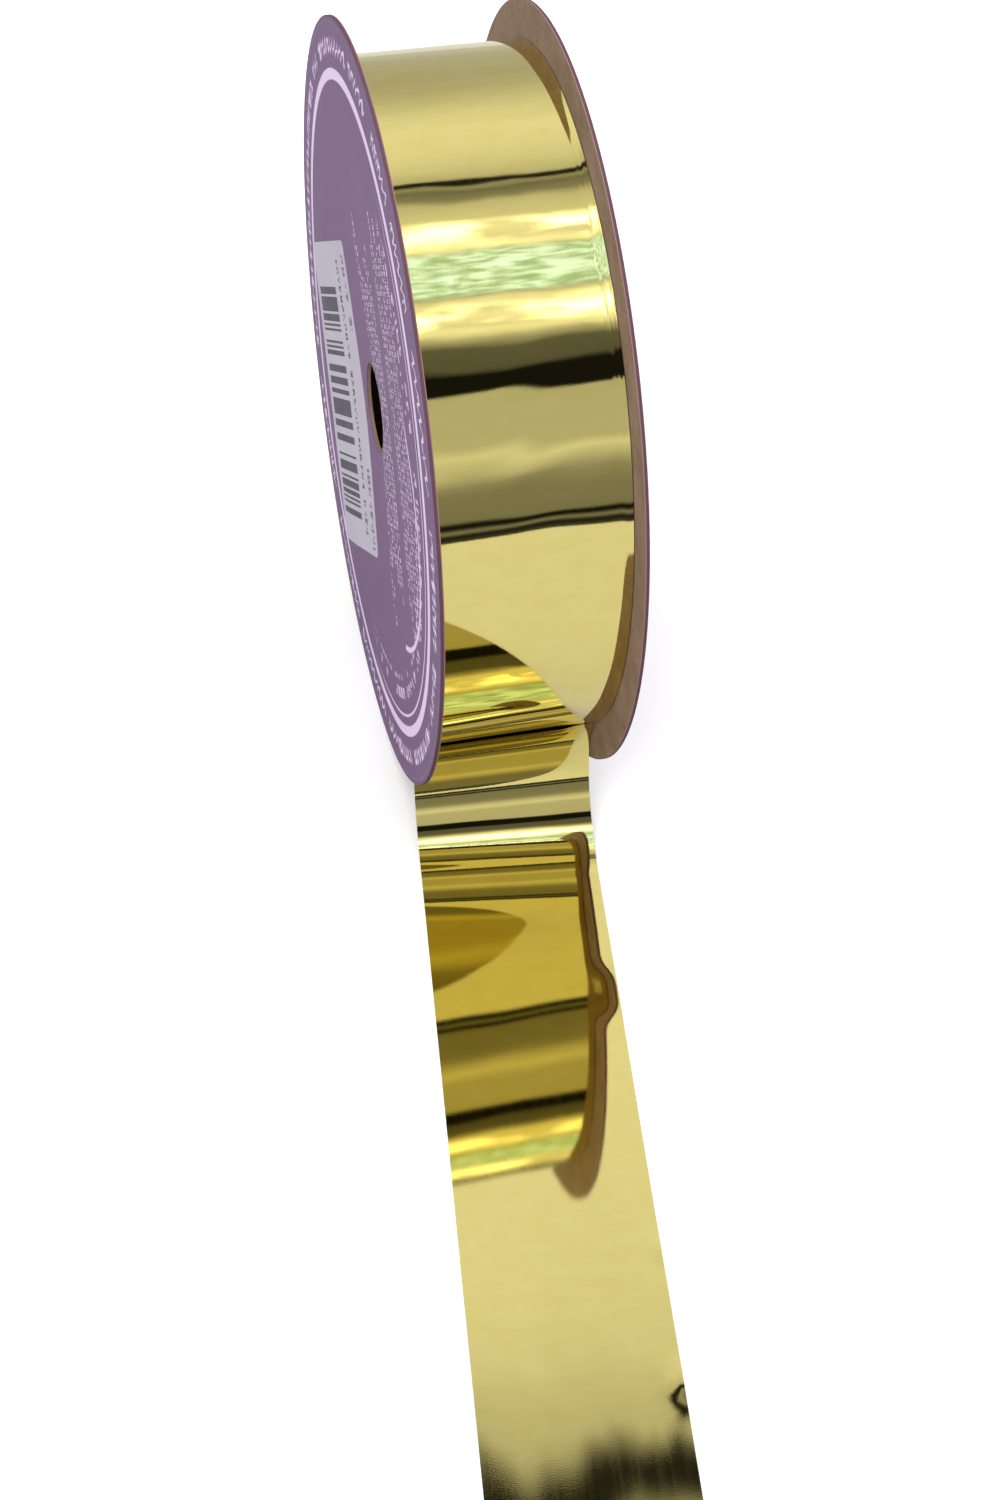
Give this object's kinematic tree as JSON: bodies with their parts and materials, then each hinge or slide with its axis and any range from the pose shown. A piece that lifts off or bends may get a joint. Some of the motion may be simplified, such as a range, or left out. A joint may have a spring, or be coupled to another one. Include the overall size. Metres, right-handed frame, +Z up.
{
  "type": "ribbon spool",
  "caption": "Spool with two round flanges on a paper core, wound with gold film ribbon whose free end lies flat in front; the reel spins to pay the ribbon out.",
  "frame": {"origin": "centre of the axle hole, on the spool's axis midway between the two flanges", "axes": "+X along the axle hole, away from the printed and labelled flange; -Y the side the ribbon leaves from; +Z up, standing on both rims"},
  "size_m": [0.0506, 0.273, 0.133],
  "materials": {
    "chipboard": "matt recycled paper board",
    "printed_paper": "mauve print on coated paper, satin",
    "core_paper": "matt spirally wound kraft paper",
    "hot_melt": "smooth amber hot-melt",
    "clear_tape": "clear film tape",
    "gold_film": "mirror-bright metallised film, pale gold",
    "label_paper": "white self-adhesive label paper"
  },
  "bodies": {
    "laid_ribbon": {"ribbon_tail": "gold_film"},
    "reel": {"flange_board_left": "chipboard", "flange_board_right": "chipboard", "face_paper_left": "printed_paper", "face_paper_right": "printed_paper", "core_tube": "core_paper", "glue_ring_left": "hot_melt", "glue_ring_right": "hot_melt", "start_tape": "clear_tape", "ribbon_roll": "gold_film", "barcode_sticker": "label_paper"}
  },
  "joints": [
    {"name": "reel_spin", "type": "hinge", "parent": "laid_ribbon", "child": "reel", "pos_m": [0, 0, 0], "axis": [1, 0, 0], "continuous": true}
  ]
}
